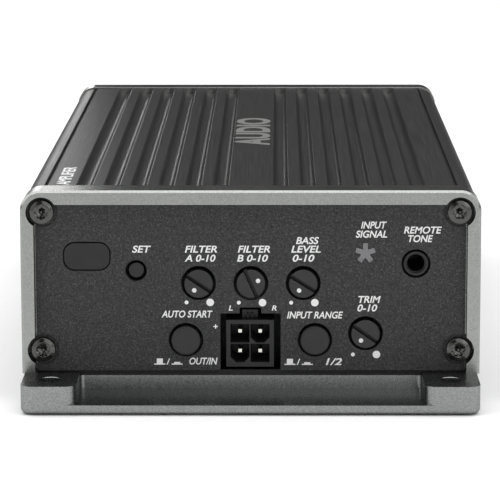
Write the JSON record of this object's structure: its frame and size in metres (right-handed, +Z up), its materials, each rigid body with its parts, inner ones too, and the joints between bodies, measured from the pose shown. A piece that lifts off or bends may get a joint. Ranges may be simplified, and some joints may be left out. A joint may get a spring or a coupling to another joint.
{
  "type": "car audio amplifier",
  "caption": "Compact car amplifier with a finned metal case on a footed base, a recessed control panel with knobs, buttons and sockets, and screw terminals at the back.",
  "frame": {"origin": "on the underside, at the middle of the base", "axes": "+Z up, +X to the right as the control panel is read, +Y from the control panel to the terminals"},
  "size_m": [0.095, 0.203, 0.0444],
  "materials": {
    "anodised_black": "satin black anodised, brushed lengthways",
    "satin_aluminium": "satin grey, bead blasted",
    "cast_gunmetal": "satin gunmetal coating on a casting",
    "panel_paint": "fine-textured charcoal powder coat",
    "black_foam": "matte",
    "nickel_steel": "black-nickel plated",
    "black_steel": "black oxide",
    "zinc_steel": "zinc plated",
    "switch_plastic": "moulded",
    "black_plastic": "moulded, satin",
    "lamp_window": "smoked, frosted behind",
    "lamp_epoxy": "water clear",
    "tinned_brass": "tin plated",
    "circuit_board": "near-black green solder mask",
    "terminal_plastic": "moulded, fine grain",
    "ferrite": "epoxy-coated powder core",
    "enamelled_copper": "enamelled wire",
    "capacitor_sleeve": "shrink sleeve",
    "capacitor_box": "boxed film",
    "chip_epoxy": "moulded",
    "thermal_rubber": "filled silicone",
    "bar_aluminium": "sawn bar",
    "knob_plastic": "moulded, fine grain",
    "button_plastic": "moulded, fine grain"
  },
  "bodies": {
    "chassis": {"heatsink_shell": "anodised_black", "front_frame": "satin_aluminium", "rear_frame": "satin_aluminium", "base_plate": "cast_gunmetal", "front_panel": "panel_paint", "rear_panel": "panel_paint", "front_gasket": "black_foam", "rear_gasket": "black_foam", "front_panel_screws": "nickel_steel", "rear_panel_screws": "nickel_steel", "base_screws": "black_steel", "board_screws": "zinc_steel", "potentiometers": "switch_plastic", "push_switches": "switch_plastic", "set_switch": "switch_plastic", "blanking_plug": "black_plastic", "signal_lamp_lens": "lamp_window", "signal_lamp": "lamp_epoxy", "remote_jack": "black_plastic", "jack_tails": "tinned_brass", "input_header": "black_plastic", "input_header_pins": "tinned_brass", "control_board": "circuit_board", "board_link_strip": "black_plastic", "board_link_pins": "tinned_brass", "power_terminal_housing": "terminal_plastic", "speaker_terminal_housing": "terminal_plastic", "terminal_contacts": "tinned_brass", "status_lamp": "lamp_epoxy", "main_board": "circuit_board", "transformer_core": "ferrite", "transformer_windings": "enamelled_copper", "output_choke_cores": "ferrite", "output_choke_windings": "enamelled_copper", "electrolytic_capacitors": "capacitor_sleeve", "film_capacitors": "capacitor_box", "power_transistors": "chip_epoxy", "thermal_pads": "thermal_rubber", "clamp_bars": "bar_aluminium", "clamp_screws": "zinc_steel", "signal_processor": "chip_epoxy", "driver_chips": "chip_epoxy"},
    "high_pass_knob": {"high_pass_knob": "knob_plastic"},
    "low_pass_knob": {"low_pass_knob": "knob_plastic"},
    "bass_boost_knob": {"bass_boost_knob": "knob_plastic"},
    "gain_knob": {"gain_knob": "knob_plastic"},
    "offset_button": {"offset_button": "button_plastic"},
    "input_level_button": {"input_level_button": "button_plastic"},
    "set_button": {"set_button": "button_plastic"},
    "power_positive_screw": {"power_positive_screw": "nickel_steel"},
    "power_positive_cage": {"power_positive_cage": "tinned_brass"},
    "remote_turn_on_screw": {"remote_turn_on_screw": "nickel_steel"},
    "remote_turn_on_cage": {"remote_turn_on_cage": "tinned_brass"},
    "power_ground_screw": {"power_ground_screw": "nickel_steel"},
    "power_ground_cage": {"power_ground_cage": "tinned_brass"},
    "speaker_positive_screw": {"speaker_positive_screw": "nickel_steel"},
    "speaker_positive_cage": {"speaker_positive_cage": "tinned_brass"},
    "speaker_negative_screw": {"speaker_negative_screw": "nickel_steel"},
    "speaker_negative_cage": {"speaker_negative_cage": "tinned_brass"}
  },
  "joints": [
    {"name": "high_pass_knob_turn", "type": "hinge", "parent": "chassis", "child": "high_pass_knob", "pos_m": [-0.0108, -0.087, 0.0245], "axis": [0, 1, 0], "range_deg": [-9, 291]},
    {"name": "low_pass_knob_turn", "type": "hinge", "parent": "chassis", "child": "low_pass_knob", "pos_m": [0.00005, -0.087, 0.0245], "axis": [0, 1, 0], "range_deg": [-221, 79]},
    {"name": "bass_boost_knob_turn", "type": "hinge", "parent": "chassis", "child": "bass_boost_knob", "pos_m": [0.0109, -0.087, 0.0245], "axis": [0, 1, 0], "range_deg": [-7, 293]},
    {"name": "gain_knob_turn", "type": "hinge", "parent": "chassis", "child": "gain_knob", "pos_m": [0.02385, -0.087, 0.01385], "axis": [0, 1, 0], "range_deg": [-10, 290]},
    {"name": "offset_button_press", "type": "slide", "parent": "chassis", "child": "offset_button", "axis": [0, 1, 0], "range_m": [0, 0.002], "stiffness_N_per_m": 350, "springref_m": -0.002},
    {"name": "input_level_button_press", "type": "slide", "parent": "chassis", "child": "input_level_button", "axis": [0, 1, 0], "range_m": [0, 0.002], "stiffness_N_per_m": 350, "springref_m": -0.002},
    {"name": "set_button_press", "type": "slide", "parent": "chassis", "child": "set_button", "axis": [0, 1, 0], "range_m": [0, 0.0003], "stiffness_N_per_m": 2500, "springref_m": -0.0002},
    {"name": "power_positive_screw_turn", "type": "hinge", "parent": "chassis", "child": "power_positive_screw", "pos_m": [0.00925, 0.0943, 0.018], "axis": [0, 0, -1], "range_deg": [0, 2017]},
    {"name": "power_positive_cage_rise", "type": "slide", "parent": "chassis", "child": "power_positive_cage", "axis": [0, 0, 1], "range_m": [0, 0.0028]},
    {"name": "remote_turn_on_screw_turn", "type": "hinge", "parent": "chassis", "child": "remote_turn_on_screw", "pos_m": [0.018, 0.0943, 0.018], "axis": [0, 0, -1], "range_deg": [0, 2017]},
    {"name": "remote_turn_on_cage_rise", "type": "slide", "parent": "chassis", "child": "remote_turn_on_cage", "axis": [0, 0, 1], "range_m": [0, 0.0028]},
    {"name": "power_ground_screw_turn", "type": "hinge", "parent": "chassis", "child": "power_ground_screw", "pos_m": [0.02675, 0.0943, 0.018], "axis": [0, 0, -1], "range_deg": [0, 2017]},
    {"name": "power_ground_cage_rise", "type": "slide", "parent": "chassis", "child": "power_ground_cage", "axis": [0, 0, 1], "range_m": [0, 0.0028]},
    {"name": "speaker_positive_screw_turn", "type": "hinge", "parent": "chassis", "child": "speaker_positive_screw", "pos_m": [-0.02425, 0.0943, 0.018], "axis": [0, 0, -1], "range_deg": [0, 2017]},
    {"name": "speaker_positive_cage_rise", "type": "slide", "parent": "chassis", "child": "speaker_positive_cage", "axis": [0, 0, 1], "range_m": [0, 0.0028]},
    {"name": "speaker_negative_screw_turn", "type": "hinge", "parent": "chassis", "child": "speaker_negative_screw", "pos_m": [-0.01575, 0.0943, 0.018], "axis": [0, 0, -1], "range_deg": [0, 2017]},
    {"name": "speaker_negative_cage_rise", "type": "slide", "parent": "chassis", "child": "speaker_negative_cage", "axis": [0, 0, 1], "range_m": [0, 0.0028]}
  ],
  "couplings": [
    {"joint": "power_positive_screw_turn", "follows": "power_positive_cage_rise", "rad_per_m": 12566},
    {"joint": "remote_turn_on_screw_turn", "follows": "remote_turn_on_cage_rise", "rad_per_m": 12566},
    {"joint": "power_ground_screw_turn", "follows": "power_ground_cage_rise", "rad_per_m": 12566},
    {"joint": "speaker_positive_screw_turn", "follows": "speaker_positive_cage_rise", "rad_per_m": 12566},
    {"joint": "speaker_negative_screw_turn", "follows": "speaker_negative_cage_rise", "rad_per_m": 12566}
  ]
}
